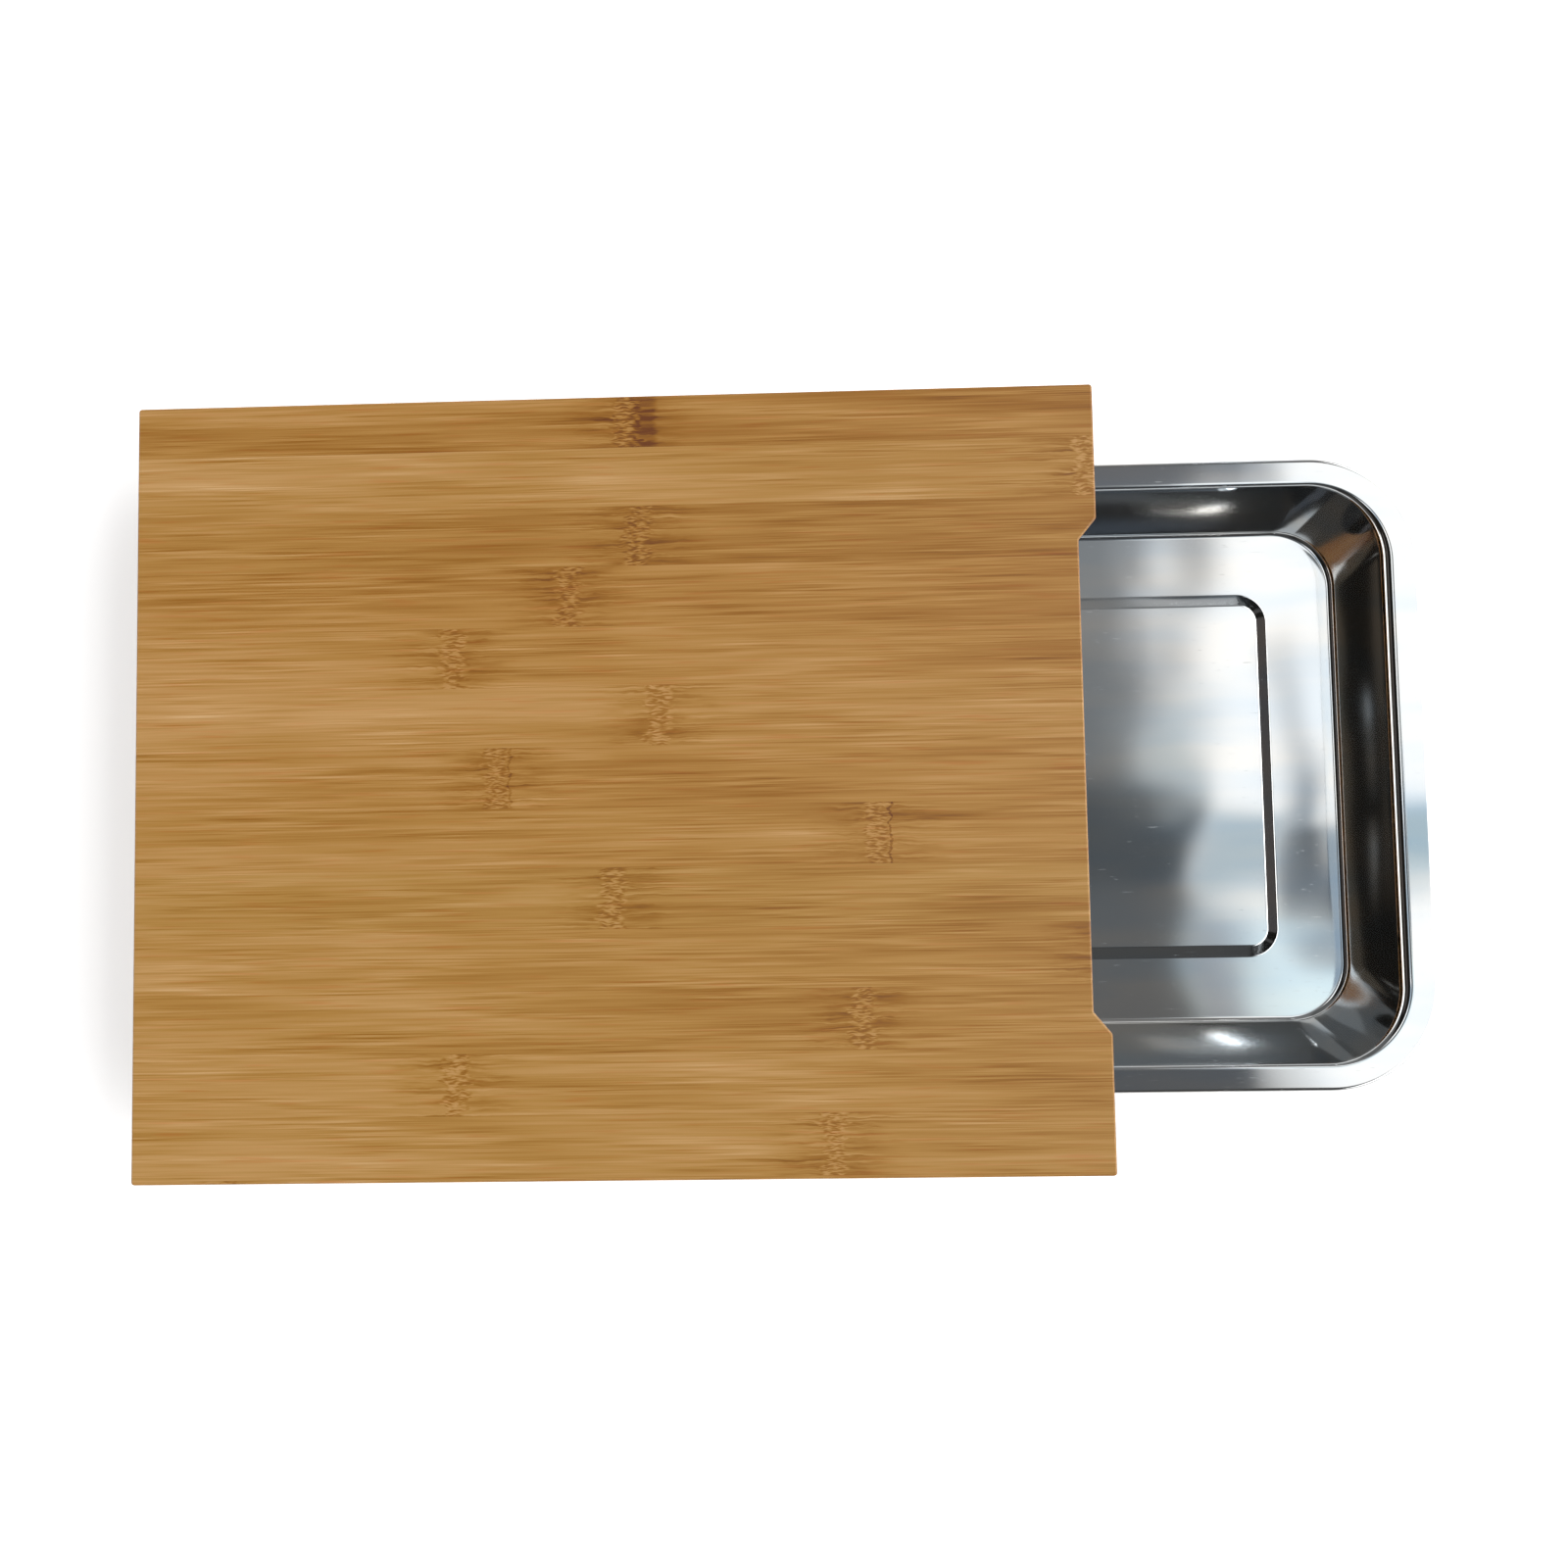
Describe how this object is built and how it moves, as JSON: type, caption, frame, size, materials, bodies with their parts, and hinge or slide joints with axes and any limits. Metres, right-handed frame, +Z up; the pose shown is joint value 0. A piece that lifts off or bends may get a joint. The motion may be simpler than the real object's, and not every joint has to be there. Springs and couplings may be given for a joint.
{
  "type": "cutting board with drawer tray",
  "caption": "Bamboo cutting board on a low frame with rubber feet, with a pressed steel tray that slides out from under its notched end to catch food.",
  "frame": {"origin": "on the table, under the middle of the whole object, the tray as far out as at rest", "axes": "+X is the way the tray pulls out, +Z is up"},
  "size_m": [0.453, 0.27, 0.0573],
  "materials": {
    "board_bamboo": "oiled flat-grain bamboo, satin, staves along X with a few nodes",
    "frame_bamboo": "oiled edge-grain bamboo, satin",
    "stainless_steel": "bright-rolled stainless sheet, nearly a mirror",
    "zinc_plated_steel": "bright zinc plating",
    "rubber": "matt moulded rubber",
    "beech": "bare turned beech"
  },
  "bodies": {
    "board": {"top_board": "board_bamboo", "side_wall_near": "frame_bamboo", "side_wall_far": "frame_bamboo", "end_wall": "frame_bamboo", "runner_near": "frame_bamboo", "runner_far": "frame_bamboo", "dowel_near_1": "beech", "dowel_near_2": "beech", "dowel_near_3": "beech", "dowel_near_4": "beech", "dowel_far_1": "beech", "dowel_far_2": "beech", "dowel_far_3": "beech", "dowel_far_4": "beech", "dowel_end_1": "beech", "dowel_end_2": "beech", "dowel_corner_near": "beech", "dowel_corner_far": "beech", "runner_screw_near_1": "zinc_plated_steel", "runner_screw_near_2": "zinc_plated_steel", "runner_screw_near_3": "zinc_plated_steel", "runner_screw_far_1": "zinc_plated_steel", "runner_screw_far_2": "zinc_plated_steel", "runner_screw_far_3": "zinc_plated_steel", "foot_washer_near_closed": "zinc_plated_steel", "foot_washer_near_open": "zinc_plated_steel", "foot_washer_far_closed": "zinc_plated_steel", "foot_washer_far_open": "zinc_plated_steel", "foot_screw_near_closed": "zinc_plated_steel", "foot_screw_near_open": "zinc_plated_steel", "foot_screw_far_closed": "zinc_plated_steel", "foot_screw_far_open": "zinc_plated_steel", "foot_near_closed": "rubber", "foot_near_open": "rubber", "foot_far_closed": "rubber", "foot_far_open": "rubber"},
    "drawer": {"drawer_tray": "stainless_steel"}
  },
  "joints": [
    {"name": "drawer_slide", "type": "slide", "parent": "board", "child": "drawer", "axis": [1, 0, 0], "range_m": [-0.118, 0.168]}
  ]
}
